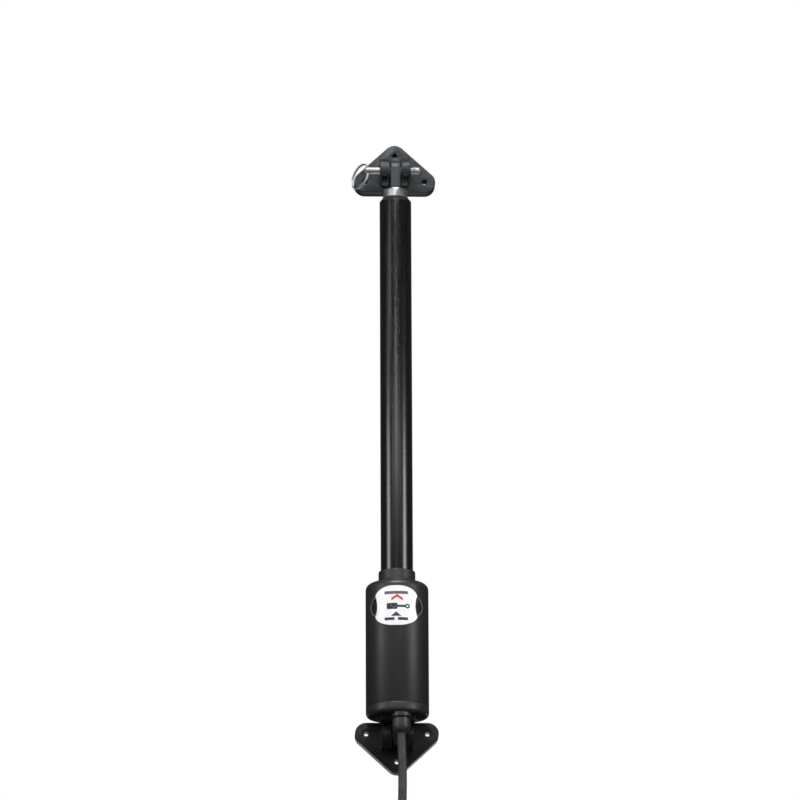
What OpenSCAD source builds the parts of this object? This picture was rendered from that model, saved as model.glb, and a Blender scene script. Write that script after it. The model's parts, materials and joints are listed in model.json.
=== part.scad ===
/* In-line electric linear actuator with a clevis bracket at each end.
   The origin is the centre of the lower pivot pin, +Z runs along the actuator towards the ram,
   both pivot pins lie along X, and the mounting faces of the brackets face +Y.
   The rest position is fully retracted. All sizes are in millimetres. */

/* [Actuator] */
// Distance between the two pivot pins when retracted
pin_to_pin = 659; // [652:1:740]
// Travel of the ram
stroke = 380; // [200:1:380]
// Outer diameter of the outer tube
tube_d = 36; // [35:0.1:36]
// Wall of the outer tube
tube_wall = 1.5; // [1.2:0.1:1.6]
// Outer diameter of the ram
ram_d = 28; // [27:0.1:28]
// Inner diameter of the ram
ram_bore_d = 22; // [21:0.1:22]

/* [Housing] */
// Outer diameter of the motor housing
housing_d = 70; // [69:0.5:70.5]
// Wall of the motor housing
housing_wall = 4; // [3.5:0.1:4]
// Outer diameter of the collar that holds the tube
collar_d = 41; // [41:0.5:44]
// Width of the label, measured straight across
label_w = 57.4; // [55:0.2:58]
// Height of the label
label_h = 45; // [34:1:48]
// How far the label is turned round the housing, in degrees
label_turn = -3.5; // [-10:0.5:10]

/* [Brackets] */
// Distance between the two holes along the straight edge of a bracket
base_pitch = 68; // [66:1:74]
// Distance from that line of holes to the single hole at the point
apex_drop = 31.5; // [31:0.5:36]
// Diameter of the mounting holes
screw_hole_d = 5.6; // [5:0.1:7]
// Corner radius of the plate
plate_r = 12.5; // [11:0.5:12.5]
// Thickness of the plate
plate_t = 16.5; // [15:0.5:18]
// Diameter of the pivot pins
pin_d = 8; // [7.5:0.1:8]
// Thickness of the eyes that the pins pass through
eye_t = 11; // [10:0.5:12]

/* [Drive] */
// Travel of the ram for one turn of the screw
screw_lead = 6; // [5:0.5:8]
// Outside diameter of the screw thread
screw_d = 16; // [14:0.5:16]
// Gear module
gear_module = 1; // [0.9:0.05:1]

/* [Lead] */
// Diameter of the power lead
lead_d = 9.5; // [8:0.1:9.6]
// Length of jacketed lead below the gland
lead_len = 108; // [60:1:160]

/* [Hidden] */
$fn = 96;
eps = 0.02;
running = 0.05;

// Radii used all over the model
tube_r = tube_d / 2;
tube_bore_r = tube_r - tube_wall;
ram_r = ram_d / 2;
ram_bore_r = ram_bore_d / 2;
housing_r = housing_d / 2;
housing_bore_r = housing_r - housing_wall;
collar_r = collar_d / 2;
pin_r = pin_d / 2;
screw_r = screw_d / 2;
lead_r = lead_d / 2;

// Levels along the actuator, from the bottom up
lug_z = 14.5;
cap_z = 20;
seam_z = 31.5;
cap_floor_z = 36;
cap_seal_z = 39.2;
spigot_z = 44;
end_bell_z = 46;
can_z = 50;
brush_card_z = 50;
core_z = 70;
core_h = 28;
can_top_z = 108;
gearbox_z = 114;
gear_z = 120;
gear_h = 14;
ring_gear_top_z = 142;
bearing_block_z = 144;
bearing_z = 157;
bearing_half = 7;
shoulder_inner_z = 164;
tube_seat_z = 166;
shoulder_z = 174;
nut_z = 174;
label_z = 139.5;
tube_seal_z = 179.5;
collar_z = 185.5;
ram_top_z = pin_to_pin - 23.7;
tube_cap_z = ram_top_z - 10.8;
tube_top_z = tube_cap_z - 5.5;

// Bracket: the pin axis is the bracket's own origin and the point of the plate is towards -Z.
// The back of the plate stands further off than the housing's radius, so the housing clears the wall.
base_line_z = 6.6;
standoff = 20.5;
ear_r = 13.1;
ear_gap = eye_t + 2;
clevis_w = 35.5;
ear_w = (clevis_w - ear_gap) / 2;

// Pocket in each ear: wall left round it, distance past the pin bore, and depth towards the plate
pocket_wall = 2.7;
pocket_floor = 3.2;
pocket_depth = 15;

// Power lead and gland, a little to one side of the middle plane
gland_x = 3.5;
gland_y = -23;
lead_bend_z = -6.5;

// Gears: the planet count divides the sum of the sun's and the ring's teeth
sun_teeth = 12;
planet_teeth = 18;
pressure_angle = 25;
addendum = 0.9;
dedendum = 1.15;
backlash = 0.08;
ring_teeth = sun_teeth + 2 * planet_teeth;
planet_orbit_r = gear_module * (sun_teeth + planet_teeth) / 2;
planet_pin_r = 3;
planets = 3;

// Screw bearing
ball_r = 3.5;
ball_orbit_r = 14.6;
balls = 9;

// Quick-release pin and its ring
release_len_left = 34;
release_len_right = 29;
ring_hole_x = -31;
ring_hole_r = 2;
ring_r = 14.9;
ring_wire_r = 0.65;
ring_tilt = 18;
ring_drop = 54;
detent_x = 21.5;
detent_ball_r = 1.5;

// ---------------------------------------------------------------- shared shapes

// A ring or disc between two radii, standing on z
module tube_piece(outer, inner, z, h) {
    translate([0, 0, z])
        difference() {
            cylinder(r = outer, h = h);
            if (inner > 0)
                translate([0, 0, -1])
                    cylinder(r = inner, h = h + 2);
        }
}

// A round ring of wire lying flat at height z
module wire_ring(major, minor, z) {
    translate([0, 0, z])
        rotate_extrude()
            translate([major, 0])
                circle(r = minor, $fn = 32);
}

// A rod along X between two places
module rod_x(x0, x1, r) {
    translate([x0, 0, 0])
        rotate([0, 90, 0])
            cylinder(r = r, h = x1 - x0);
}

// A cutter along Y
module hole_y(x, z, r) {
    translate([x, 60, z])
        rotate([90, 0, 0])
            cylinder(r = r, h = 120);
}

// A flat eye across X: round about the pin axis, with a straight shank up to z = top
module eye(top, r) {
    difference() {
        union() {
            rod_x(-eye_t / 2, eye_t / 2, r);
            translate([-eye_t / 2, -r, 0])
                cube([eye_t, 2 * r, top]);
        }
        rod_x(-eye_t, eye_t, pin_r + running);
    }
}

// ---------------------------------------------------------------- gears

function involute(a) = tan(a) * 180 / PI - a;

// Half the angle that a tooth fills at radius r
function half_tooth(teeth, r, slack) =
    let (pitch_r = gear_module * teeth / 2, base_r = pitch_r * cos(pressure_angle))
    90 / teeth - slack / pitch_r * 180 / PI + involute(pressure_angle)
        - involute(acos(min(1, base_r / r)));

function on_circle(r, a) = [r * cos(a), r * sin(a)];

// A closed outline of teeth between an inner and an outer radius
function tooth_outline(teeth, r0, r1, slack) =
    let (steps = 4)
    [for (k = [0 : teeth - 1])
        let (mid = k * 360 / teeth)
        for (i = [0 : 2 * steps + 1])
            let (
                rising = i <= steps,
                t = rising ? i / steps : (2 * steps + 1 - i) / steps,
                r = r0 + (r1 - r0) * t,
                half = half_tooth(teeth, r, slack)
            )
            on_circle(r, mid + (rising ? -half : half))];

module spur_gear(teeth, bore_r, h) {
    pitch_r = gear_module * teeth / 2;
    linear_extrude(h)
        difference() {
            polygon(tooth_outline(teeth, pitch_r - dedendum * gear_module,
                                  pitch_r + addendum * gear_module, backlash));
            circle(r = bore_r);
        }
}

// A planet at its place, turned so that a gap faces the sun and the ring
module planet(i) {
    rotate([0, 0, i * 360 / planets])
        translate([planet_orbit_r, 0, gear_z])
            rotate([0, 0, 180 / planet_teeth])
                spur_gear(planet_teeth, planet_pin_r + running, gear_h);
}

// ---------------------------------------------------------------- brackets

// The plate: three round corners joined by straight edges
module plate_outline() {
    half = base_pitch / 2;
    slope = atan2(apex_drop, half);
    nx = plate_r * sin(slope);
    nz = plate_r * cos(slope);
    apex_z = base_line_z - apex_drop;
    union() {
        polygon([
            [-half, base_line_z + plate_r], [half, base_line_z + plate_r],
            [half + nx, base_line_z - nz], [nx, apex_z - nz],
            [-nx, apex_z - nz], [-half - nx, base_line_z - nz]
        ]);
        for (x = [-half, half])
            translate([x, base_line_z])
                circle(r = plate_r);
        translate([0, apex_z])
            circle(r = plate_r);
    }
}

// Front outline of the two ears: rounded on the side towards the actuator
module clevis_front() {
    half = clevis_w / 2;
    round_r = 5;
    union() {
        translate([-half, -ear_r - 1])
            square([clevis_w, 2 * ear_r + 1 - round_r]);
        translate([-half + round_r, 0])
            square([clevis_w - 2 * round_r, ear_r]);
        for (s = [-1, 1])
            translate([s * (half - round_r), ear_r - round_r])
                circle(r = round_r);
    }
}

module clevis_bracket(bore_r) {
    back_y = standoff + plate_t;
    pocket_w = ear_w - 2 * pocket_wall;
    difference() {
        union() {
            translate([0, back_y, 0])
                rotate([90, 0, 0])
                    linear_extrude(plate_t)
                        plate_outline();
            intersection() {
                union() {
                    rod_x(-clevis_w / 2, clevis_w / 2, ear_r);
                    translate([-clevis_w / 2, 0, -ear_r])
                        cube([clevis_w, standoff + 1, 2 * ear_r]);
                }
                translate([0, standoff + 1, 0])
                    rotate([90, 0, 0])
                        linear_extrude(standoff + ear_r + 2)
                            clevis_front();
            }
        }
        translate([-ear_gap / 2, -ear_r - 1, -ear_r - 1])
            cube([ear_gap, standoff + ear_r + 1, 2 * ear_r + 2]);
        for (s = [-1, 1])
            translate([s * (ear_gap + ear_w) / 2 - pocket_w / 2, -ear_r + pocket_wall, pin_r + pocket_floor])
                cube([pocket_w, pocket_depth, ear_r]);
        rod_x(-clevis_w, clevis_w, bore_r);
        for (x = [-base_pitch / 2, base_pitch / 2])
            hole_y(x, base_line_z, screw_hole_d / 2);
        hole_y(0, base_line_z - apex_drop, screw_hole_d / 2);
    }
}

module lower_bracket() {
    color("darkslategray")
        clevis_bracket(pin_r);
}

module upper_bracket() {
    color("darkslategray")
        translate([0, 0, pin_to_pin])
            mirror([0, 0, 1])
                clevis_bracket(pin_r + running);
}

module lower_pivot_pin() {
    color("silver")
        rod_x(-clevis_w / 2 + 0.2, clevis_w / 2 - 0.2, pin_r);
}

// ---------------------------------------------------------------- housing and tube

// Bottom cap: eye, lug, rim and a spigot that plugs the housing
module bottom_cap() {
    rim_round = 4;
    groove_d = 1.9;
    color("dimgray")
        difference() {
            union() {
                eye(lug_z + 1, 12);
                translate([-19, -12, lug_z])
                    cube([38, 24, cap_z - lug_z + 1]);
                translate([0, 0, cap_z])
                    rotate_extrude()
                        union() {
                            square([housing_r - rim_round, seam_z - cap_z]);
                            translate([0, rim_round])
                                square([housing_r, seam_z - cap_z - rim_round]);
                            translate([housing_r - rim_round, rim_round])
                                circle(r = rim_round);
                        }
                cylinder_between(housing_bore_r - running, seam_z - 1, spigot_z);
            }
            cylinder_between(27, cap_floor_z, spigot_z + 1);
            difference() {
                cylinder_between(housing_r, cap_seal_z - 1.2, cap_seal_z + 1.2);
                cylinder_between(housing_bore_r - groove_d, cap_seal_z - 2, cap_seal_z + 2);
            }
            translate([gland_x, gland_y, cap_z - 1])
                cylinder(r = 6.6, h = cap_floor_z - cap_z + 2);
        }
}

module cylinder_between(r, z0, z1) {
    translate([0, 0, z0])
        cylinder(r = r, h = z1 - z0);
}

module cap_o_ring() {
    color("black")
        wire_ring(housing_bore_r - 0.96, 0.9, cap_seal_z);
}

// Housing: a cup with a domed shoulder and the collar that takes the tube
module motor_housing() {
    shoulder_r = 7;
    shoulder_fall = 18;
    edge_r = 1.6;
    arc = [housing_r - shoulder_r, shoulder_z - 9.8];
    tangent = arc + shoulder_r * [sin(shoulder_fall), cos(shoulder_fall)];
    top_r = tangent[0] - (shoulder_z - tangent[1]) / tan(shoulder_fall);
    color("black")
        difference() {
            union() {
                rotate_extrude() {
                    polygon([
                        [0, seam_z], [housing_r, seam_z], [housing_r, arc[1]], arc,
                        tangent, [top_r, shoulder_z], [0, shoulder_z]
                    ]);
                    translate(arc)
                        circle(r = shoulder_r);
                }
                translate([0, 0, shoulder_z - 1])
                    rotate_extrude() {
                        square([collar_r - edge_r, collar_z - shoulder_z + 1]);
                        square([collar_r, collar_z - shoulder_z + 1 - edge_r]);
                        translate([collar_r - edge_r, collar_z - shoulder_z + 1 - edge_r])
                            circle(r = edge_r);
                    }
            }
            cylinder_between(housing_bore_r, seam_z - 1, shoulder_inner_z);
            cylinder_between(13, shoulder_inner_z - 1, tube_seat_z + 1);
            cylinder_between(tube_r, tube_seat_z, collar_z + 1);
            cylinder_between(tube_r + 1.7, tube_seal_z - 1.2, tube_seal_z + 1.2);
        }
}

// Label: a thin sheet that follows the housing, with soft corners and a round lobe at each side
module label_plate() {
    field_w = 46.6;
    corner_w = 20;
    corner_h = 12.5;
    lobe_r = 14.2;
    color("white")
        intersection() {
            tube_piece(housing_r + 0.3, housing_r, label_z - label_h, 2 * label_h);
            translate([0, 0, label_z])
                rotate([90, 0, label_turn])
                    linear_extrude(housing_r + 2)
                        union() {
                            polygon([for (turn = [0 : 3], a = [0 : 6 : 90])
                                let (b = turn * 90 + a, sx = turn % 3 == 0 ? 1 : -1, sz = turn < 2 ? 1 : -1)
                                [sx * (field_w / 2 - corner_w) + corner_w * cos(b),
                                 sz * (label_h / 2 - corner_h) + corner_h * sin(b)]]);
                            for (s = [-1, 1])
                                translate([s * (label_w / 2 - lobe_r), 0])
                                    circle(r = lobe_r);
                        }
        }
}

module outer_tube() {
    color("black")
        tube_piece(tube_r, tube_bore_r, tube_seat_z, tube_top_z - tube_seat_z);
}

module tube_o_ring() {
    color("black")
        wire_ring(tube_r + 0.86, 0.82, tube_seal_z);
}

// End cap: a plug in the tube with a chamfered flange on top
module tube_end_cap() {
    chamfer_w = 3.2;
    flange_h = tube_cap_z - tube_top_z;
    bore_r = ram_r + 0.25;
    color("black")
        difference() {
            union() {
                cylinder_between(tube_bore_r - eps, tube_top_z - 12, tube_top_z + 1);
                translate([0, 0, tube_top_z])
                    rotate_extrude()
                        polygon([
                            [0, 0], [tube_r, 0], [tube_r, 1.2],
                            [tube_r - chamfer_w, flange_h], [0, flange_h]
                        ]);
            }
            cylinder_between(bore_r, tube_top_z - 13, tube_cap_z + 1);
            cylinder_between(ram_r + 1.6, tube_top_z - 8, tube_top_z - 5);
            cylinder_between(ram_r + 1.2, tube_top_z + 0.6, tube_top_z + 3.4);
        }
}

module rod_wiper() {
    color("black")
        tube_piece(ram_r + 1.2 - eps, ram_r + eps, tube_top_z + 0.7, 2.6);
}

module rod_seal() {
    color("black")
        wire_ring(ram_r + 0.8, 0.76, tube_top_z - 6.5);
}

module rod_guide_bush() {
    color("ivory")
        tube_piece(tube_bore_r - eps, ram_r + running, tube_top_z - 34, 21.9);
}

module end_stop_bumper() {
    color("dimgray")
        tube_piece(tube_bore_r - 0.1, 11.6, tube_seat_z, 6);
}

// ---------------------------------------------------------------- cable gland and lead

// Gland body: a flange against the cap, a stem through it and a neck inside the nut
module gland_body() {
    color("dimgray")
        translate([gland_x, gland_y, cap_z])
            difference() {
                union() {
                    cylinder_between(6.6, -1, cap_floor_z - cap_z - 1);
                    cylinder_between(10.8, -5, 0);
                    cylinder_between(8.2, -15.5, -4);
                }
                cylinder_between(lead_r + 0.1, -17, cap_floor_z - cap_z);
                cylinder_between(6.5, -17, -7.5);
            }
}

// Dome nut, round below with a hole for the lead
module gland_nut() {
    nut_r = 10;
    nut_h = 17;
    dome = 8;
    color("dimgray")
        translate([gland_x, gland_y, cap_z - 6 - nut_h])
            difference() {
                union() {
                    cylinder_between(nut_r, dome, nut_h);
                    translate([0, 0, dome])
                        rotate_extrude()
                            intersection() {
                                translate([0, -dome])
                                    square([nut_r, 2 * dome - 1]);
                                union() {
                                    translate([nut_r - dome, 0])
                                        circle(r = dome);
                                    translate([0, -dome])
                                        square([nut_r - dome, dome]);
                                }
                            }
                }
                cylinder_between(8.25, 6.5, nut_h + 1);
                cylinder_between(lead_r + 0.25, -1, 9);
            }
}

module gland_seal() {
    color("black")
        translate([gland_x, gland_y, cap_z])
            tube_piece(6.45, lead_r + 0.05, -15.4, 7.8);
}

module power_lead_upper() {
    color("black")
        translate([gland_x, gland_y, 0])
            cylinder_between(lead_r, lead_bend_z + lead_r + 0.1, cap_floor_z - 0.5);
}

module internal_wires() {
    color("red")
        for (x = [-2.2, 2.2])
            translate([gland_x + x, gland_y, 0])
                cylinder_between(1.2, cap_floor_z - 0.5, brush_card_z);
}

// The lead bends about the point where it leaves the gland
module power_lead_lower() {
    color("black")
        translate([gland_x, gland_y, 0])
            union() {
                translate([0, 0, lead_bend_z])
                    sphere(r = lead_r);
                cylinder_between(lead_r, lead_bend_z - lead_len, lead_bend_z);
            }
}

module lead_conductors() {
    color("red")
        for (x = [-2.2, 2.2])
            translate([gland_x + x, gland_y, 0])
                cylinder_between(1.6, lead_bend_z - lead_len - 16, lead_bend_z - lead_len);
}

// ---------------------------------------------------------------- motor

module motor_end_bell() {
    color("gray")
        difference() {
            union() {
                cylinder_between(29, end_bell_z, can_z);
                cylinder_between(10, end_bell_z - 4, end_bell_z + 1);
            }
            cylinder_between(7, end_bell_z - 3, can_z + 1);
            cylinder_between(5, end_bell_z - 5, end_bell_z);
            for (x = [-2.2, 2.2])
                translate([gland_x + x, gland_y, 0])
                    cylinder_between(1.4, end_bell_z - 1, can_z + 1);
        }
}

module motor_can() {
    color("silver")
        difference() {
            cylinder_between(29, can_z, can_top_z);
            cylinder_between(27, can_z - 1, can_top_z - 2);
            cylinder_between(7, can_top_z - 3, can_top_z + 1);
            gearbox_screw_places()
                cylinder(r = 2.1, h = 20, center = true);
        }
}

module field_magnets() {
    arc = 60;
    color("dimgray")
        for (side = [0, 180])
            rotate([0, 0, side])
                intersection() {
                    tube_piece(27, 22.3, core_z - 2, core_h + 4);
                    translate([0, 0, 60])
                        linear_extrude(60)
                            polygon([[0, 0], [60 * cos(arc), -60 * sin(arc)], [60, -60 * sin(arc)],
                                     [60, 60 * sin(arc)], [60 * cos(arc), 60 * sin(arc)]]);
                }
}

module armature_bearings() {
    color("goldenrod") {
        tube_piece(7, 4 + running, end_bell_z - 3, 6);
        tube_piece(7, 4 + running, can_top_z - 2, 6);
    }
}

module brush_card() {
    color("darkgreen")
        union() {
            tube_piece(26.5, 12, brush_card_z, 2);
            for (side = [0, 180])
                rotate([0, 0, side])
                    difference() {
                        translate([12.5, -4.5, brush_card_z + 1])
                            cube([13.5, 9, 9]);
                        translate([11, -3.05, brush_card_z + 2.95])
                            cube([13.5, 6.1, 5.1]);
                    }
        }
}

module carbon_brushes() {
    color("black")
        for (side = [0, 180])
            rotate([0, 0, side])
                translate([9.1, -3, brush_card_z + 3])
                    cube([9.5, 6, 5]);
}

module brush_springs() {
    color("silver")
        for (side = [0, 180])
            rotate([0, 0, side])
                translate([18.6, 0, brush_card_z + 5.5])
                    rotate([0, 90, 0])
                        tube_piece(2, 1.4, 0, 5.9);
}

module gearbox_screw_places() {
    for (a = [60, 180, 300])
        rotate([0, 0, a])
            translate([18, 0, can_top_z])
                children();
}

module gearbox_plate() {
    color("silver")
        difference() {
            cylinder_between(housing_bore_r - eps, can_top_z, gearbox_z);
            cylinder_between(7, can_top_z - 1, can_top_z + 4);
            cylinder_between(5, can_top_z, gearbox_z + 1);
            gearbox_screw_places() {
                cylinder(r = 2.1, h = 20, center = true);
                translate([0, 0, 3])
                    cylinder(r = 3.8, h = 10);
            }
        }
}

module gearbox_screws() {
    color("silver")
        gearbox_screw_places()
            difference() {
                union() {
                    translate([0, 0, -3.5])
                        cylinder(r = 2, h = 7);
                    translate([0, 0, 3])
                        cylinder(r = 3.6, h = 2.6);
                }
                translate([0, 0, 4])
                    cylinder(r = 1.7, h = 3, $fn = 6);
            }
}

module ring_gear() {
    pitch_r = gear_module * ring_teeth / 2;
    color("gray")
        translate([0, 0, gearbox_z])
            difference() {
                cylinder(r = housing_bore_r - eps, h = ring_gear_top_z - gearbox_z);
                translate([0, 0, -1])
                    rotate([0, 0, 180 / ring_teeth])
                        linear_extrude(ring_gear_top_z - gearbox_z + 2)
                            polygon(tooth_outline(ring_teeth, pitch_r - addendum * gear_module,
                                                  pitch_r + dedendum * gear_module, -backlash));
            }
}

module armature_shaft() {
    color("silver")
        cylinder_between(4, end_bell_z - 3, gear_z + gear_h + 0.5);
}

module armature_core() {
    slots = 12;
    color("gray")
        translate([0, 0, core_z])
            linear_extrude(core_h)
                difference() {
                    circle(r = 21.7);
                    circle(r = 4);
                    for (k = [0 : slots - 1])
                        rotate(k * 360 / slots) {
                            translate([16, 0])
                                circle(r = 2.2);
                            translate([16, -0.6])
                                square([8, 1.2]);
                        }
                }
}

module armature_windings() {
    slots = 12;
    color("chocolate")
        union() {
            tube_piece(20, 9, core_z - 4.5, 4.5);
            tube_piece(20, 9, core_z + core_h, 4.5);
            for (k = [0 : slots - 1])
                rotate([0, 0, k * 360 / slots])
                    translate([16, 0, 0])
                        cylinder_between(2.1, core_z - 1, core_z + core_h + 1);
        }
}

module commutator() {
    color("chocolate")
        tube_piece(9, 4, brush_card_z + 2.2, 10.8);
}

module sun_gear() {
    color("silver")
        translate([0, 0, gear_z])
            spur_gear(sun_teeth, 4, gear_h);
}

module planet_gear_1() { color("gold") planet(0); }
module planet_gear_2() { color("gold") planet(1); }
module planet_gear_3() { color("gold") planet(2); }

// ---------------------------------------------------------------- screw

// Carrier: a disc with three pins, and a hub against the bearing's inner race
module planet_carrier() {
    color("silver")
        difference() {
            union() {
                cylinder_between(20, gear_z + gear_h + 1, gear_z + gear_h + 7);
                cylinder_between(10, gear_z + gear_h + 6, bearing_z - bearing_half);
                for (i = [0 : planets - 1])
                    rotate([0, 0, i * 360 / planets])
                        translate([planet_orbit_r, 0, 0])
                            cylinder_between(planet_pin_r, gear_z - 1, gear_z + gear_h + 2);
            }
            cylinder_between(6, gear_z + gear_h + 4, bearing_z);
        }
}

// Screw: a shank in the carrier and the bearing, a collar, then one thread ring for each turn
module lead_screw() {
    thread_z = tube_seat_z + 4;
    end_z = nut_z + 30 + stroke + 6;
    root_r = screw_r - 1.6;
    crest = 0.34 * screw_lead;
    turns = floor((end_z - 8 - thread_z) / screw_lead);
    color("silver")
        union() {
            cylinder_between(6, gear_z + gear_h + 4, bearing_z);
            cylinder_between(screw_r, bearing_z - bearing_half, bearing_z + bearing_half + 1);
            cylinder_between(11, bearing_z + bearing_half, bearing_z + bearing_half + 4);
            rotate_extrude()
                polygon(concat(
                    [[0, bearing_z], [root_r, bearing_z]],
                    [for (k = [0 : turns - 1])
                        let (z = thread_z + k * screw_lead)
                        for (p = [[root_r, 0], [screw_r, 0.8], [screw_r, 0.8 + crest], [root_r, 1.6 + crest]])
                            [p[0], z + p[1]]],
                    [[root_r, end_z], [0, end_z]]
                ));
        }
}

module bearing_outer_race() {
    color("silver")
        difference() {
            tube_piece(21, 16.8, bearing_z - bearing_half, 2 * bearing_half);
            wire_ring(ball_orbit_r, ball_r + 0.06, bearing_z);
        }
}

module bearing_inner_race() {
    color("silver")
        difference() {
            tube_piece(12.4, screw_r, bearing_z - bearing_half, 2 * bearing_half);
            wire_ring(ball_orbit_r, ball_r + 0.06, bearing_z);
        }
}

module ball_places() {
    for (k = [0 : balls - 1])
        rotate([0, 0, k * 360 / balls])
            translate([ball_orbit_r, 0, bearing_z])
                children();
}

module bearing_cage() {
    color("goldenrod")
        difference() {
            tube_piece(15.9, 13.3, bearing_z - 4.6, 9.2);
            ball_places()
                sphere(r = ball_r + 0.1);
        }
}

module bearing_balls() {
    color("silver")
        ball_places()
            sphere(r = ball_r);
}

// Block that seats the bearing's outer race in the housing
module bearing_block() {
    color("gray")
        difference() {
            cylinder_between(housing_bore_r - eps, bearing_block_z, shoulder_inner_z);
            cylinder_between(18, bearing_block_z - 1, shoulder_inner_z + 1);
            cylinder_between(21, bearing_z - bearing_half, shoulder_inner_z + 1);
        }
}

module screw_end_stop() {
    color("silver")
        translate([0, 0, nut_z + 30 + stroke + 1])
            difference() {
                cylinder(r = 10, h = 4);
                translate([0, 0, -1])
                    cylinder(r = screw_r - 1.6, h = 6);
            }
}

// ---------------------------------------------------------------- ram

module ram_tube() {
    edge_r = 2.8;
    bottom = nut_z + 6;
    h = ram_top_z - bottom;
    color("gainsboro")
        translate([0, 0, bottom])
            rotate_extrude()
                difference() {
                    union() {
                        square([ram_r, h - edge_r]);
                        square([ram_r - edge_r, h]);
                        translate([ram_r - edge_r, h - edge_r])
                            circle(r = edge_r);
                    }
                    translate([-1, -1])
                        square([ram_bore_r + 1, h + 2]);
                }
}

module drive_nut() {
    color("goldenrod")
        difference() {
            union() {
                cylinder_between(tube_bore_r - 0.6, nut_z, nut_z + 6);
                cylinder_between(ram_bore_r, nut_z + 5, nut_z + 30);
            }
            cylinder_between(screw_r + 0.15, nut_z - 1, nut_z + 31);
            difference() {
                cylinder_between(tube_r, nut_z + 1.5, nut_z + 4.5);
                cylinder_between(13.4, nut_z, nut_z + 6);
            }
        }
}

module nut_guide_ring() {
    color("ivory")
        tube_piece(tube_bore_r - running, 13.45, nut_z + 1.6, 2.8);
}

// Rod end: a plug in the ram, with an eye on top
module rod_end() {
    color("darkslategray")
        union() {
            cylinder_between(ram_bore_r, ram_top_z - 26, ram_top_z + 0.5);
            translate([0, 0, pin_to_pin])
                mirror([0, 0, 1])
                    eye(pin_to_pin - ram_top_z, 12);
        }
}

// ---------------------------------------------------------------- release pin

module at_ring_hole() {
    translate([ring_hole_x, 0, pin_to_pin])
        rotate([-ring_tilt, 0, 0])
            children();
}

// Pin with a rounded nose, a cross hole for the ring and a pocket for the detent
module release_pin() {
    nose_r = 2.6;
    pin_len = release_len_left + release_len_right;
    color("gainsboro")
        difference() {
            translate([-release_len_left, 0, pin_to_pin])
                rotate([0, 90, 0])
                    rotate_extrude()
                        intersection() {
                            square([pin_r, pin_len]);
                            union() {
                                square([pin_r, pin_len - nose_r]);
                                square([pin_r - nose_r, pin_len]);
                                translate([pin_r - nose_r, pin_len - nose_r])
                                    circle(r = nose_r);
                            }
                        }
            at_ring_hole()
                cylinder(r = ring_hole_r, h = 20, center = true);
            translate([detent_x, 0.5, pin_to_pin])
                rotate([90, 0, 0])
                    cylinder(r = detent_ball_r + 0.1, h = 20);
        }
}

module detent_ball() {
    color("silver")
        translate([detent_x, -pin_r + 1.1, pin_to_pin])
            sphere(r = detent_ball_r);
}

module detent_spring() {
    color("silver")
        translate([detent_x, 0.45, pin_to_pin])
            rotate([90, 0, 0])
                tube_piece(1.1, 0.7, 0, 1.6);
}

// Split ring: two turns of wire that pass through the cross hole
module pull_ring() {
    color("silver")
        at_ring_hole()
            rotate([0, 0, 180 - ring_drop])
                translate([ring_r - 0.25, 0, 0])
                    rotate([90, 0, 0])
                        union() {
                            for (s = [-1, 1])
                                wire_ring(ring_r, ring_wire_r, s * 0.5);
                        }
}

// ---------------------------------------------------------------- nodes

lower_bracket();
lower_pivot_pin();
bottom_cap();
cap_o_ring();
motor_housing();
label_plate();
outer_tube();
tube_o_ring();
tube_end_cap();
rod_wiper();
rod_seal();
rod_guide_bush();
end_stop_bumper();
gland_body();
gland_nut();
gland_seal();
power_lead_upper();
internal_wires();
motor_end_bell();
motor_can();
field_magnets();
armature_bearings();
brush_card();
carbon_brushes();
brush_springs();
gearbox_plate();
gearbox_screws();
ring_gear();
bearing_block();
bearing_outer_race();
armature_shaft();
armature_core();
armature_windings();
commutator();
sun_gear();
planet_gear_1();
planet_gear_2();
planet_gear_3();
planet_carrier();
lead_screw();
bearing_inner_race();
screw_end_stop();
bearing_cage();
bearing_balls();
ram_tube();
drive_nut();
nut_guide_ring();
rod_end();
upper_bracket();
release_pin();
detent_ball();
detent_spring();
pull_ring();
power_lead_lower();
lead_conductors();
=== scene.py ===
import json
import math

import bmesh
import bpy
from mathutils import Matrix, Quaternion, Vector


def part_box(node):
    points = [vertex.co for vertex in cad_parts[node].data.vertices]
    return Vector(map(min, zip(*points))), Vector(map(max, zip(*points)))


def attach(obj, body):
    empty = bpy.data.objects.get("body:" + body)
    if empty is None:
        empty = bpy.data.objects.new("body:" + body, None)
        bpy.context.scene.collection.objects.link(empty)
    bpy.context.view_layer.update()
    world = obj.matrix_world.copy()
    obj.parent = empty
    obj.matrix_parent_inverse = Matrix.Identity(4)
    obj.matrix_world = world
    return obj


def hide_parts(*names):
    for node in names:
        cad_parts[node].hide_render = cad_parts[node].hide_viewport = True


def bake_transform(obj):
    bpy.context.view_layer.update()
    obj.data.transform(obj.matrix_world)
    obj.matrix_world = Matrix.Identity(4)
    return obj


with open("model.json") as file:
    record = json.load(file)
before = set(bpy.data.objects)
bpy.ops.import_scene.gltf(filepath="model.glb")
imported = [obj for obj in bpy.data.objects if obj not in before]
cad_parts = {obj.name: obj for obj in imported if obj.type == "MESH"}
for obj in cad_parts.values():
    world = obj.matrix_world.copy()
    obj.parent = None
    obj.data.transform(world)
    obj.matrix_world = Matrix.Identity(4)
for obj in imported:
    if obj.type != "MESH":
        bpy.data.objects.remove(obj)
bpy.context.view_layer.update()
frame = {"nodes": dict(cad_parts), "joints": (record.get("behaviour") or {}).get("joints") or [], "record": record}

MM = 0.001
NODE_SLOT = {row["node"]: row["material_slot"] for row in frame["record"]["subparts"]}


# ---------------------------------------------------------------- material kit

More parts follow.
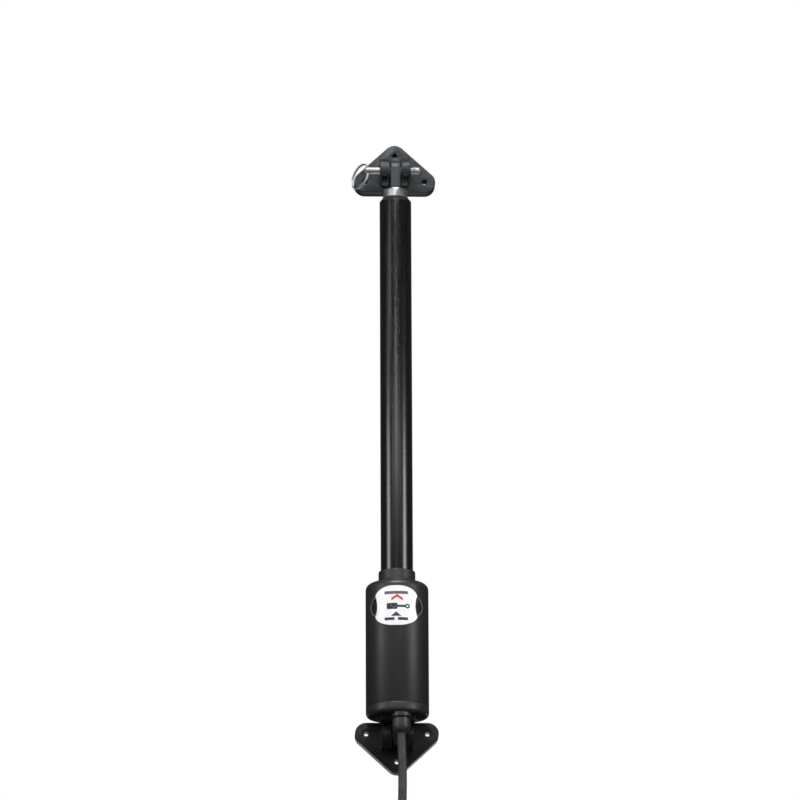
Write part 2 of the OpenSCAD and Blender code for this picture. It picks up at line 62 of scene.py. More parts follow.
class Shader:
    """A small builder for node materials on a Principled base."""

    def __init__(self, name):
        self.material = bpy.data.materials.new(name)
        self.material.use_nodes = True
        self.nodes = self.material.node_tree.nodes
        self.links = self.material.node_tree.links
        self.base = self.nodes["Principled BSDF"]
        self.place = self.nodes.new("ShaderNodeTexCoord").outputs["Object"]

    def put(self, socket, value):
        """Set an input to a number, a colour or another node's output."""
        if isinstance(value, bpy.types.NodeSocket):
            self.links.new(value, socket)
        elif isinstance(value, (tuple, list)) and socket.type == "RGBA":
            socket.default_value = (*value, 1)[:4]
        else:
            socket.default_value = value

    def set(self, **values):
        """Set inputs of the Principled base, with _ for each space in their names."""
        for key, value in values.items():
            self.put(self.base.inputs[key.replace("_", " ")], value)

    def scaled(self, factors):
        """Object coordinates stretched along each axis."""
        node = self.nodes.new("ShaderNodeMapping")
        node.inputs["Scale"].default_value = factors
        self.links.new(self.place, node.inputs["Vector"])
        return node.outputs["Vector"]

    def noise(self, size, detail=3.0, stretch=(1, 1, 1), seed=0.0):
        """Noise whose features are about size metres."""
        node = self.nodes.new("ShaderNodeTexNoise")
        node.noise_dimensions = "4D"
        self.put(node.inputs["W"], seed)
        self.put(node.inputs["Scale"], 1 / size)
        self.put(node.inputs["Detail"], detail)
        self.links.new(self.scaled(stretch), node.inputs["Vector"])
        return node.outputs["Fac"]

    def ramp(self, value, low, high, out_low=0.0, out_high=1.0):
        """The value brought from low..high to out_low..out_high, and held at those ends."""
        node = self.nodes.new("ShaderNodeMapRange")
        keys = ("Value", "From Min", "From Max", "To Min", "To Max")
        for key, number in zip(keys, (value, low, high, out_low, out_high)):
            self.put(node.inputs[key], number)
        return node.outputs["Result"]

    def math(self, operation, a, b=0.0):
        node = self.nodes.new("ShaderNodeMath")
        node.operation = operation
        self.put(node.inputs[0], a)
        self.put(node.inputs[1], b)
        return node.outputs[0]

    def hypot(self, a, b):
        squares = [self.math("MULTIPLY", side, side) for side in (a, b)]
        return self.math("SQRT", self.math("ADD", *squares))

    def mix(self, factor, a, b):
        node = self.nodes.new("ShaderNodeMix")
        node.data_type = "RGBA"
        self.put(node.inputs["Factor"], factor)
        self.put(node.inputs["A"], a)
        self.put(node.inputs["B"], b)
        return node.outputs["Result"]

    def tinted(self, value, low, high, colour, dark, light):
        """The colour times dark where the value is low, and times light where it is high."""
        return self.mix(self.ramp(value, low, high), tint(colour, dark), tint(colour, light))

    def bump(self, height, depth):
        """Bump of the given depth in metres."""
        node = self.nodes.new("ShaderNodeBump")
        node.inputs["Distance"].default_value = depth
        self.put(node.inputs["Height"], height)
        self.set(Normal=node.outputs["Normal"])


def tint(colour, factor):
    return tuple(min(1.0, c * factor) for c in colour)


def moulded(name, colour, roughness, specular=0.5):
    """Moulded plastic: fine grain, soft colour drift and slightly polished high spots."""
    s = Shader(name)
    drift = s.noise(0.03, 4)
    grit = s.noise(0.0012, 2, seed=3)
    wear = s.math("ADD", grit, s.noise(0.009, 3, seed=5))
    s.set(
        Base_Color=s.tinted(drift, 0.35, 0.65, colour, 0.86, 1.14),
        Roughness=s.ramp(wear, 0.7, 1.3, roughness - 0.07, roughness + 0.08),
        Specular_IOR_Level=specular,
    )
    s.bump(grit, 0.00004)
    return s.material


def coated(name, colour, roughness, peel, depth, coat=0.0, coat_roughness=0.05):
    """Paint or powder coat on metal, with orange peel of the given size and depth, and faint
    long handling marks."""
    s = Shader(name)
    skin = s.noise(peel, 2, seed=2)
    marks = s.noise(0.0016, 5, stretch=(1, 1, 0.05), seed=7)
    drift = s.noise(0.06, 3, seed=9)
    s.set(
        Base_Color=s.tinted(drift, 0.3, 0.7, colour, 0.85, 1.15),
        Roughness=s.ramp(marks, 0.35, 0.75, roughness - 0.04, roughness + 0.06),
        Coat_Weight=coat,
        Coat_Roughness=s.ramp(marks, 0.4, 0.8, coat_roughness, coat_roughness + 0.05),
    )
    s.bump(skin, depth)
    return s.material


def metal(name, colour, roughness, stretch=(1, 1, 1), line=0.0004, depth=0.000004):
    """Bare metal with fine machining or polishing lines along the stretched axis."""
    s = Shader(name)
    lines = s.noise(line, 4, stretch=stretch, seed=4)
    cloud = s.noise(0.012, 4, seed=6)
    wear = s.math("ADD", lines, cloud)
    s.set(
        Base_Color=s.tinted(cloud, 0.3, 0.7, colour, 0.92, 1.05),
        Metallic=1.0,
        Roughness=s.ramp(wear, 0.7, 1.4, roughness - 0.05, roughness + 0.07),
    )
    s.bump(lines, depth)
    return s.material


def rubbery(name, colour, roughness=0.6):
    """Rubber or soft PVC: matt, with a faint bloom and fine pores."""
    s = Shader(name)
    pores = s.noise(0.0006, 3, seed=1)
    bloom = s.noise(0.01, 4, seed=8)
    s.set(
        Base_Color=s.tinted(bloom, 0.4, 0.75, colour, 1.0, 1.6),
        Roughness=s.ramp(bloom, 0.3, 0.7, roughness - 0.06, roughness + 0.08),
        Specular_IOR_Level=0.35,
    )
    s.bump(pores, 0.00003)
    return s.material


def wound(name, colour):
    """Enamelled copper wire, wound in fine turns, with painted shade in the grooves between them."""
    s = Shader(name)
    wave = s.nodes.new("ShaderNodeTexWave")
    wave.inputs["Scale"].default_value = 260
    wave.inputs["Distortion"].default_value = 1.2
    s.links.new(s.place, wave.inputs["Vector"])
    turns_and_groove_shade = wave.outputs["Fac"]
    # the colour is darker in the grooves between the turns: painted shade over the real relief that the bump gives
    s.set(Base_Color=s.mix(turns_and_groove_shade, tint(colour, 0.5), colour), Metallic=0.8, Roughness=0.32)
    s.bump(turns_and_groove_shade, 0.0002)
    return s.material


def stacked(name, colour):
    """Thin steel sheets stacked along the shaft."""
    s = Shader(name)
    sheets = s.noise(0.0011, 1, stretch=(0.02, 0.02, 1), seed=2)
    s.set(
        Base_Color=s.tinted(sheets, 0.4, 0.6, colour, 0.6, 1.0),
        Metallic=1.0,
        Roughness=0.4,
    )
    s.bump(sheets, 0.0001)
    return s.material


# ---------------------------------------------------------------- label artwork

LABEL_LOW, LABEL_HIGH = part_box("label_plate")
LABEL_Z = (LABEL_LOW.z + LABEL_HIGH.z) / 2
LABEL_W, LABEL_H = LABEL_HIGH.x - LABEL_LOW.x, LABEL_HIGH.z - LABEL_LOW.z
LABEL_TURN = math.radians(-3.5)
LABEL_LOBE_R = 14.2 * MM


def label_material(name):
    """A made-up data plate: a pale panel between dark lobes, with plain bars, a chevron and a
    pictogram."""
    s = Shader(name)
    split = s.nodes.new("ShaderNodeSeparateXYZ")
    s.links.new(s.place, split.inputs[0])
    across = s.math(
        "ADD",
        s.math("MULTIPLY", split.outputs["X"], math.cos(LABEL_TURN)),
        s.math("MULTIPLY", split.outputs["Y"], math.sin(LABEL_TURN)),
    )
    up = s.math("SUBTRACT", split.outputs["Z"], LABEL_Z)
    blur = 0.00012

    def inside(distance):
        """1 where a signed distance is below zero."""
        return s.ramp(distance, blur, -blur)

    def bar(x, z, w, h, r=0.4 * MM):
        """A bar of the given width and height, with corners of radius r."""
        beyond = []
        for place, middle, half in ((across, x, w / 2), (up, z, h / 2)):
            off = s.math("ABSOLUTE", s.math("SUBTRACT", place, middle))
            beyond.append(s.math("MAXIMUM", s.math("SUBTRACT", off, half - r), 0.0))
        return inside(s.math("SUBTRACT", s.hypot(*beyond), r))

    def disc(x, z, r):
        away = s.hypot(s.math("SUBTRACT", across, x), s.math("SUBTRACT", up, z))
        return inside(s.math("SUBTRACT", away, r))

    def chevron(x, z, w, h, thick):
        """An upward arrow head of the given width, height and stroke."""
        px = s.math("ABSOLUTE", s.math("SUBTRACT", across, x))
        slope = s.math("MULTIPLY", px, -2 * h / w)
        ridge = s.math("SUBTRACT", s.math("SUBTRACT", up, z), slope)
        band = s.math("SUBTRACT", s.math("ABSOLUTE", ridge), thick / 2)
        side = s.math("SUBTRACT", px, w / 2)
        return inside(s.math("MAXIMUM", band, side))

    def triangle(x, z, w, h):
        """A triangle that stands on z."""
        px = s.math("ABSOLUTE", s.math("SUBTRACT", across, x))
        rise = s.math("ADD", s.math("SUBTRACT", up, z), s.math("MULTIPLY", px, 2 * h / w))
        return inside(s.math("MAXIMUM", s.math("SUBTRACT", rise, h), s.math("SUBTRACT", z, up)))

    lobe = (0.012, 0.012, 0.013)
    pale = (0.93, 0.92, 0.93)
    ink = (0.035, 0.035, 0.04)
    rim, rim_w = (0.2, 0.2, 0.2), 0.7 * MM
    out = s.math("SUBTRACT", s.math("ABSOLUTE", across), LABEL_W / 2 - LABEL_LOBE_R)
    past_lobe = s.math("SUBTRACT", LABEL_LOBE_R - rim_w, s.hypot(out, up))
    colour = s.mix(inside(past_lobe), lobe, rim)
    # the panel is narrowest at mid height
    waist_w, flare = 21.2 * MM, 14.0
    waist = s.math("ADD", s.math("MULTIPLY", s.math("MULTIPLY", up, up), flare), waist_w)
    panel = inside(s.math("SUBTRACT", s.math("ABSOLUTE", across), waist))
    colour = s.mix(panel, colour, pale)
    for shape, paint in (
        (bar(0, 14.3 * MM, 26 * MM, 3.4 * MM), (0.12, 0.11, 0.12)),
        (chevron(1 * MM, 11.0 * MM, 13 * MM, 4.4 * MM, 3.0 * MM), (0.62, 0.05, 0.04)),
        (bar(-4.5 * MM, -1.0 * MM, 12 * MM, 7.0 * MM, 1.4 * MM), ink),
        (bar(5.5 * MM, -1.0 * MM, 12 * MM, 2.6 * MM), ink),
        (disc(12.4 * MM, -1.0 * MM, 2.7 * MM), ink),
        (disc(12.4 * MM, -1.0 * MM, 1.1 * MM), pale),
        (triangle(0, -12.4 * MM, 12 * MM, 5.2 * MM), (0.03, 0.06, 0.12)),
        (bar(-7.4 * MM, -15.4 * MM, 11 * MM, 3.2 * MM), ink),
        (bar(7.4 * MM, -15.4 * MM, 11 * MM, 3.2 * MM), ink),
    ):
        colour = s.mix(shape, colour, paint)
    film = s.noise(0.004, 3, seed=2)
    s.set(
        Base_Color=colour,
        Roughness=s.ramp(film, 0.3, 0.7, 0.2, 0.32),
        Coat_Weight=0.3,
        Coat_Roughness=0.12,
    )
    s.bump(film, 0.00003)
    return s.material


MATERIALS = {
    "bracket_plastic": moulded("bracket_plastic", (0.03, 0.037, 0.042), 0.42),
    "bracket_black": moulded("bracket_black", (0.011, 0.013, 0.014), 0.45, specular=0.35),
    "rod_end_plastic": moulded("rod_end_plastic", (0.045, 0.052, 0.058), 0.38),
    "housing_coat": coated("housing_coat", (0.021, 0.02, 0.0195), 0.42, 0.0009, 0.00003),
    "cap_plastic": moulded("cap_plastic", (0.02, 0.02, 0.02), 0.42),
    "tube_coat": coated(
        "tube_coat", (0.003, 0.003, 0.0032), 0.26, 0.006, 0.000003, coat=0.6, coat_roughness=0.18,
    ),
    "gland_plastic": moulded("gland_plastic", (0.035, 0.034, 0.034), 0.36),
    "lead_jacket": rubbery("lead_jacket", (0.045, 0.045, 0.046), 0.48),
    "stainless": metal("stainless", (0.78, 0.79, 0.8), 0.32, stretch=(1, 1, 0.04)),
    "pin_steel": metal("pin_steel", (0.62, 0.61, 0.57), 0.42, stretch=(0.04, 1, 1)),
    "ring_wire": metal("ring_wire", (0.7, 0.7, 0.71), 0.5),
    "label_sheet": label_material("label_sheet"),
    "rubber": rubbery("rubber", (0.018, 0.018, 0.018)),
    "bush_plastic": moulded("bush_plastic", (0.72, 0.69, 0.6), 0.45),
    "motor_steel": metal("motor_steel", (0.55, 0.55, 0.54), 0.32, stretch=(1, 1, 0.08)),
    "die_cast": metal("die_cast", (0.5, 0.5, 0.51), 0.48, line=0.0009, depth=0.00003),
    "magnet": moulded("magnet", (0.07, 0.07, 0.075), 0.55),
    "bronze": metal("bronze", (0.6, 0.42, 0.2), 0.34),
    "copper": wound("copper", (0.62, 0.27, 0.12)),
    "card": moulded("card", (0.3, 0.2, 0.09), 0.5),
    "carbon": moulded("carbon", (0.04, 0.04, 0.042), 0.6),
    "gear_steel": metal("gear_steel", (0.5, 0.5, 0.51), 0.28, stretch=(1, 1, 0.2)),
    "laminations": stacked("laminations", (0.4, 0.4, 0.41)),
    "wire_red": moulded("wire_red", (0.5, 0.02, 0.015), 0.35),
    "wire_black": moulded("wire_black", (0.015, 0.015, 0.015), 0.35),
    "tinned_copper": metal("tinned_copper", (0.7, 0.62, 0.52), 0.35, line=0.0003),
}


def finish(obj, look):
    obj.data.materials.clear()
    obj.data.materials.append(MATERIALS[look])


# ---------------------------------------------------------------- mesh kit

def shade(mesh, angle=32):
    """Smooth faces, with edges kept sharp where the faces meet at more than angle degrees."""
    bm = bmesh.new()
    bm.from_mesh(mesh)
    bmesh.ops.recalc_face_normals(bm, faces=bm.faces)
    for face in bm.faces:
        face.smooth = True
    for edge in bm.edges:
        edge.smooth = len(edge.link_faces) == 2 and edge.calc_face_angle(0) < math.radians(angle)
    bm.to_mesh(mesh)
    bm.free()


def add(name, mesh, body, slot, *nodes, look=None):
    """Put a finished mesh in the scene as a piece that rides on a body and stands for CAD nodes.
    Its material is the slot's, or the one that look names."""
    obj = bpy.data.objects.new(name, mesh)
    bpy.context.scene.collection.objects.link(obj)
    finish(obj, look or slot)
    if body:
        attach(obj, body)
    if nodes:
        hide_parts(*nodes)
    return obj


def arc(centre, radius, start, end, steps):
    """Points along a circle from one angle to another, in degrees."""
    turns_and_groove_shade = [math.radians(start + (end - start) * i / steps) for i in range(steps + 1)]
    return [(centre[0] + radius * math.cos(a), centre[1] + radius * math.sin(a)) for a in turns_and_groove_shade]


NEARLY_STRAIGHT = math.radians(87)


def eased(points, radius, steps=4):
    """A closed outline with each corner rounded: radius is one number, or one for each corner."""
    radii = radius if isinstance(radius, (list, tuple)) else [radius] * len(points)
    out = []
    for i, here in enumerate(points):
        p = Vector(here)
        before = Vector(points[i - 1]) - p
        after = (Vector(points[(i + 1) % len(points)]) - p)
        r = radii[i]
        if r <= 0 or before.length < 1e-9 or after.length < 1e-9:
            out.append(tuple(p))
            continue
        a, b = before.normalized(), after.normalized()
        half = a.angle(b) / 2
        if half > NEARLY_STRAIGHT:
            out.append(tuple(p))
            continue
        reach = min(r / math.tan(half), 0.45 * before.length, 0.45 * after.length)
        p0, p1 = p + a * reach, p + b * reach
        for k in range(steps + 1):
            t = k / steps
            out.append(tuple(p0 * (1 - t) ** 2 + p * 2 * t * (1 - t) + p1 * t ** 2))
    return out


def lathe(name, profile, steps=96, place=None):
    """A mesh turned from a closed outline of (radius, height) points about Z, then put in place."""
    bm = bmesh.new()
    turns_and_groove_shade = [2 * math.pi * k / steps for k in range(steps)]
    rings = []
    for r, z in profile:
        if r < 1e-7:
            rings.append([bm.verts.new((0, 0, z))])
        else:
            rings.append([bm.verts.new((r * math.cos(a), r * math.sin(a), z)) for a in turns_and_groove_shade])
    for ring, following in zip(rings, rings[1:] + rings[:1]):
        if len(ring) == 1 and len(following) == 1:
            continue
        for k in range(steps):
            j = (k + 1) % steps
            corners = [ring[k % len(ring)], ring[j % len(ring)],
                       following[j % len(following)], following[k % len(following)]]
            bm.faces.new(list(dict.fromkeys(corners)))
    if place:
        bm.transform(place)
    mesh = bpy.data.meshes.new(name)
    bm.to_mesh(mesh)
    bm.free()
    shade(mesh)
    return mesh


def sweep(name, path, radius, sides=16):
    """A closed round bar along a path of points."""
    bm = bmesh.new()
    points = [Vector(p) for p in path]
    side = Vector((0, 1, 0))
    rings = []
    for i, p in enumerate(points):
        ahead = (points[min(i + 1, len(points) - 1)] - points[max(i - 1, 0)]).normalized()
        side = (side - ahead * side.dot(ahead)).normalized()
        up = ahead.cross(side)
        rings.append([
            bm.verts.new(p + radius * (math.cos(a) * side + math.sin(a) * up))
            for a in (2 * math.pi * k / sides for k in range(sides))
        ])
    for ring, following in zip(rings, rings[1:]):
        for k in range(sides):
            j = (k + 1) % sides
            bm.faces.new((ring[k], ring[j], following[j], following[k]))
    bm.faces.new(rings[0])
    bm.faces.new(rings[-1])
    mesh = bpy.data.meshes.new(name)
    bm.to_mesh(mesh)
    bm.free()
    shade(mesh, 40)
    return mesh


def softened(name, node, width, segments=3):
    """A copy of a CAD node's shape with its edges rounded, as a moulding has them."""
    weld, flat, edge = 2e-6, math.radians(0.4), math.radians(28)
    mesh = frame["nodes"][node].data.copy()
    mesh.name = name
    bm = bmesh.new()
    bm.from_mesh(mesh)
    bmesh.ops.remove_doubles(bm, verts=bm.verts, dist=weld)
    bmesh.ops.dissolve_limit(bm, angle_limit=flat, verts=bm.verts, edges=bm.edges)
    bm.to_mesh(mesh)
    bm.free()
    work = bpy.data.objects.new(name + "_work", mesh)
    bpy.context.scene.collection.objects.link(work)
    bevel = work.modifiers.new("rounding", "BEVEL")
    bevel.width = width
    bevel.segments = segments
    bevel.limit_method = "ANGLE"
    bevel.angle_limit = edge
    bevel.use_clamp_overlap = False
    bevel.miter_outer = "MITER_ARC"
    graph = bpy.context.evaluated_depsgraph_get()
    done = bpy.data.meshes.new_from_object(work.evaluated_get(graph))
    bpy.data.objects.remove(work)
    done.name = name
    shade(done, 35)
    return done


# ---------------------------------------------------------------- pieces

SMOOTH = 128  # steps round the tube, its cap and the ram


def radius_of(node):
    """Half a node's width in the rest pose."""
    low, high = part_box(node)
    return (high.x - low.x) / 2


HOUSING_R = radius_of("motor_housing")
TUBE_R = radius_of("outer_tube")


def build_tube():
    """The long outer tube, its ends just eased."""
    low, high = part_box("outer_tube")
    wall, ease = 1.5 * MM, 0.25 * MM
    outline = [(TUBE_R - wall, low.z), (TUBE_R, low.z), (TUBE_R, high.z), (TUBE_R - wall, high.z)]
    mesh = lathe("tube_sleeve", eased(outline, ease), SMOOTH)
    add("tube_sleeve", mesh, "actuator", "tube_coat", "outer_tube")


def build_end_cap():
    """Cap with a chamfer, a step at the tube's mouth and a bore for the ram."""
    low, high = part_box("tube_end_cap")
    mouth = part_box("outer_tube")[1].z
    r = radius_of("tube_end_cap")
    bore = radius_of("ram_tube") + 0.25 * MM
    plug, band, chamfer = r - 1.55 * MM, 1.2 * MM, 3.2 * MM
    outline = [
        (bore, low.z), (plug, low.z), (plug, mouth), (r, mouth), (r, mouth + band),
        (r - chamfer, high.z), (bore, high.z),
    ]
    radii = [0, 0.3 * MM, 0, 0.15 * MM, 0.5 * MM, 0.6 * MM, 0.3 * MM]
    mesh = lathe("tube_head", eased(outline, radii), SMOOTH)
    add("tube_head", mesh, "actuator", "cap_plastic", "tube_end_cap")


def build_housing():
    """Housing cup: straight wall, sloped and rounded shoulder, and the collar with its rounded
    lip."""
    low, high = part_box("motor_housing")
    r = HOUSING_R
    wall, fall, round_r, collar = 4 * MM, math.radians(18), 7 * MM, 20.5 * MM
    shoulder = high.z - 11.5 * MM
    seat, ceiling, passage = shoulder - 8 * MM, shoulder - 10 * MM, 13 * MM
    # the bore clears the tube and the rim stands off the cap, so that no two faces coincide
    gap = 0.02 * MM
    bore, rim = TUBE_R + gap, low.z + gap
    centre = (r - round_r, shoulder - 9.8 * MM)
    tangent = (centre[0] + round_r * math.sin(fall), centre[1] + round_r * math.cos(fall))
    slope = eased(
        [
            (bore, high.z - 0.4 * MM), (TUBE_R + 0.5 * MM, high.z), (collar, high.z),
            (collar, shoulder), tangent,
        ],
        [0, 0.2 * MM, 1.6 * MM, 1.0 * MM, 0],
        6,
    )
    inner = [
        (r - wall, low.z + 0.5 * MM), (r - wall, ceiling), (passage, ceiling), (passage, seat),
        (bore, seat),
    ]
    foot = [
        (r, low.z + 0.7 * MM), (r - 0.2 * MM, low.z + 0.25 * MM), (r - 0.7 * MM, rim),
        (r - wall, rim),
    ]
    outline = inner + slope + arc(centre, round_r, 90 - math.degrees(fall), 0, 12) + foot
    mesh = lathe("housing_shell", outline, 144)
    add("housing_shell", mesh, "actuator", "housing_coat", "motor_housing")


def label_half(z):
    """Half the label's width at a height: a field with soft corners, and a round lobe at each
    side."""
    field_w, corner_w, corner_h = 23.3 * MM, 20 * MM, 12.5 * MM
    over = max(0.0, abs(z) - (LABEL_H / 2 - corner_h)) / corner_h
    field = field_w - corner_w * (1 - math.sqrt(max(0.0, 1 - over ** 2)))
    lobe = LABEL_W / 2 - LABEL_LOBE_R + math.sqrt(max(0.0, LABEL_LOBE_R ** 2 - z ** 2))
    return max(field, lobe) if abs(z) < LABEL_LOBE_R else field


def build_label():
    """A thin sheet wrapped on the housing."""
    rows, columns, thickness = 90, 72, 0.25 * MM
    radius = HOUSING_R + 0.28 * MM
    bm = bmesh.new()
    grid = []
    for i in range(rows + 1):
        # rows crowd towards the ends, where the outline curves most
        z = LABEL_H / 2 * math.sin(math.pi * (i / rows - 0.5))
        half = label_half(z)
        grid.append([
            bm.verts.new((x, -math.sqrt(radius ** 2 - x ** 2), LABEL_Z + z))
            for x in (half * (2 * k / columns - 1) for k in range(columns + 1))
        ])
    for lower, upper in zip(grid, grid[1:]):
        for k in range(columns):
            bm.faces.new((lower[k], lower[k + 1], upper[k + 1], upper[k]))
    bmesh.ops.recalc_face_normals(bm, faces=bm.faces)
    bmesh.ops.solidify(bm, geom=bm.faces[:], thickness=thickness)
    bm.transform(Matrix.Rotation(LABEL_TURN, 4, "Z"))
    mesh = bpy.data.meshes.new("data_plate")
    bm.to_mesh(mesh)
    bm.free()
    shade(mesh, 50)
    add("data_plate", mesh, "actuator", "label_sheet", "label_plate")


def build_ram():
    """Polished ram with a rounded shoulder at the top."""
    low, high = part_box("ram_tube")
    r, bore, edge = radius_of("ram_tube"), 11 * MM, 2.8 * MM
    shoulder = arc((r - edge, high.z - edge), edge, 0, 90, 10)
    outline = [(bore, low.z), (r, low.z)] + shoulder + [(bore, high.z)]
    add("ram_sleeve", lathe("ram_sleeve", outline, SMOOTH), "ram", "stainless", "ram_tube")


def build_mouldings():
    """Pieces that are their CAD node's shape with rounded edges."""
    for name, node, body, width in (
        ("lower_bracket_moulding", "lower_bracket", "lower_mount", 0.9 * MM),
        ("upper_bracket_moulding", "upper_bracket", "upper_mount", 0.9 * MM),
        ("cap_casting", "bottom_cap", "actuator", 0.7 * MM),
        ("rod_eye", "rod_end", "ram", 0.8 * MM),
    ):
        add(name, softened(name, node, width), body, NODE_SLOT[node], node)


def gland_place():
    """The gland's axis, at height 0."""
    low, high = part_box("gland_nut")
    return Matrix.Translation(((low.x + high.x) / 2, (low.y + high.y) / 2, 0))


def build_gland():
    """Gland flange with a grip rim, and a ribbed dome nut below it."""
    low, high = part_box("gland_body")
    nut_low, nut_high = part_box("gland_nut")
    flange, gap = radius_of("gland_body"), 0.02 * MM
    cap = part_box("bottom_cap")[0].z + 32 * MM  # the cap's face that the flange sits on
    rim = cap - 5 * MM
    stem, neck, bore = 6.6 * MM - gap, 8.2 * MM, 4.85 * MM
    seat_r, seat_z = 6.5 * MM, low.z + 8 * MM
    body_outline = [
        (bore, seat_z), (seat_r, seat_z), (seat_r, low.z), (neck, low.z), (neck, rim),
        (flange, rim), (flange, cap - gap), (stem, cap - gap), (stem, high.z), (bore, high.z),
    ]
    radii = [0, 0, 0, 0.3 * MM, 0, 0.9 * MM, 0.4 * MM, 0, 0.3 * MM, 0]
    mesh = lathe("gland_flange", eased(body_outline, radii), 72, gland_place())
    add("gland_flange", mesh, "actuator", "gland_plastic", "gland_body")
    r, dome, chamfer = radius_of("gland_nut"), 8 * MM, 0.6 * MM
    centre_z = nut_low.z - 0.6 * MM + dome
    hole, pocket, step = 5 * MM, 8.25 * MM, nut_low.z + 5.9 * MM
    start = math.degrees(math.asin((hole - (r - dome)) / dome)) - 90
    nut_outline = arc((r - dome, centre_z), dome, start, 0, 14) + [
        (r, nut_high.z - chamfer), (r - chamfer, nut_high.z), (pocket, nut_high.z),
        (pocket, step), (hole, step),
    ]
    mesh = lathe("gland_dome", nut_outline, 96, gland_place())
    ribbed(mesh, r, centre_z)
    add("gland_dome", mesh, "actuator", "gland_plastic", "gland_nut")


def ribbed(mesh, radius, z_low):
    """Shallow grip flutes round the straight part of the nut."""
    flutes, depth, outer = 16, 0.35 * MM, radius - 0.3 * MM
    axis = gland_place().translation
    for vertex in mesh.vertices:
        x, y = vertex.co.x - axis.x, vertex.co.y - axis.y
        r = math.hypot(x, y)
        if r > outer and vertex.co.z > z_low:
            dip = depth * max(0.0, math.cos(flutes * math.atan2(y, x))) ** 2
            vertex.co.x -= x / r * dip
            vertex.co.y -= y / r * dip


def build_pins():
    """Lower pin with chamfered ends, and the quick-release pin with its nose and cross hole."""
    low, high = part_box("lower_pivot_pin")
    r, length, edge = (high.z - low.z) / 2, high.x - low.x, 0.8 * MM
    place = Matrix.Translation((low.x, 0, 0)) @ Matrix.Rotation(math.radians(90), 4, "Y")
    outline = eased([(0, 0), (r, 0), (r, length), (0, length)], [0, edge, edge, 0], 3)
    mesh = lathe("lower_pin", outline, 48, place)
    add("lower_pin", mesh, "lower_mount", "pin_steel", "lower_pivot_pin")
    mesh = softened("quick_pin", "release_pin", 0.35 * MM, 2)
    add("quick_pin", mesh, "release", "pin_steel", "release_pin")


def build_ring():
    """Split ring: one wire wound twice round, its turns side by side and its ends cut off
    square."""
    joint = next(j for j in frame["joints"] if j["name"] == "pull_ring_swing")
    hole = Vector(joint["pos_m"])
    axis = Vector(joint["axis"]).normalized()
    low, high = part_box("pull_ring")
    out = (low + high) / 2 - hole
    out = (out - axis * out.dot(axis)).normalized()
    normal = axis.cross(out)
    # the box of a tilted ring gives its outer radius, and half the wire comes off that
    half_wire, wire_r, play = 0.65 * MM, 0.78 * MM, 0.25 * MM
    r = (high.z - low.z) / 2 / math.hypot(axis.z, out.z) - half_wire
    middle = hole + out * (r - play)
    turns_and_groove_shade, steps, step_across = 1.94, 150, 1.17 * MM
    path = []
    for i in range(steps + 1):
        t = i / steps
        a = 2 * math.pi * turns_and_groove_shade * t
        # the wire steps across to the second turn over a short stretch
        shift = min(1.0, max(0.0, (t - 0.44) / 0.12))
        shift = shift * shift * (3 - 2 * shift)
        offset = normal * ((shift - 0.5) * step_across)
        path.append(middle + r * (math.cos(a) * out + math.sin(a) * axis) + offset)
    mesh = sweep("split_ring", path, wire_r, 14)
    add("split_ring", mesh, "ring", "ring_wire", "pull_ring")


def lead_path(top, bottom):
    """The lead hangs almost straight, with a slight bow to one side."""
    steps, bow, wave, onset, below = 48, 1.0 * MM, 30 * MM, 20 * MM, -4.5 * MM
    axis = gland_place().translation
    points = []
    for i in range(steps + 1):
        z = top + (bottom - top) * i / steps
        fallen = max(0.0, below - z)
        aside = bow * math.sin(fallen / wave) * min(1.0, fallen / onset)
        points.append((axis.x + aside, axis.y, z))
    return points


def build_lead():
    """Jacketed lead from inside the cap to its cut end, bending below the gland."""
    top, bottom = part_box("power_lead_upper")[1].z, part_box("power_lead_lower")[0].z
    mesh = sweep("lead_cable", lead_path(top, bottom), radius_of("power_lead_lower"), 32)
    nodes = ("power_lead_upper", "power_lead_lower")
    lead = add("lead_cable", mesh, None, "lead_jacket", *nodes)
    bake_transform(lead)


def build_conductors():
    """Two stripped conductors fanned slightly apart, with tinned ends."""
    low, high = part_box("lead_conductors")
    x, y, _ = lead_path(0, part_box("power_lead_lower")[0].z)[-1]
    root = high.z + 1 * MM  # inside the jacket
    bare_z, tip_z = low.z + 5 * MM, low.z + 0.5 * MM
    apart, fan, steps = 2.2 * MM, 0.9 * MM, 10
    jacket_r, core_r = 1.55 * MM, 0.95 * MM
    for name, side, look, nodes in (
        ("conductor_left", -1, "wire_red", ("lead_conductors",)),
        ("conductor_right", 1, "wire_black", ()),
    ):
        path = [
            (x + side * (apart + fan * t * t), y, root + (bare_z - root) * t)
            for t in (i / steps for i in range(steps + 1))
        ]
        mesh = sweep(name, path, jacket_r, 16)
        add(name, mesh, "power_lead", "wire_red", *nodes, look=look)
        tip = [path[-1], (path[-1][0] + side * fan * 0.3, y, tip_z)]
        mesh = sweep(name + "_tip", tip, core_r, 12)
        add(name + "_tip", mesh, "power_lead", "motor_steel", look="tinned_copper")


def dress_cad_nodes():
    """Give every CAD node its slot's material."""
    for node, obj in frame["nodes"].items():
        finish(obj, NODE_SLOT[node])


# ---------------------------------------------------------------- stage

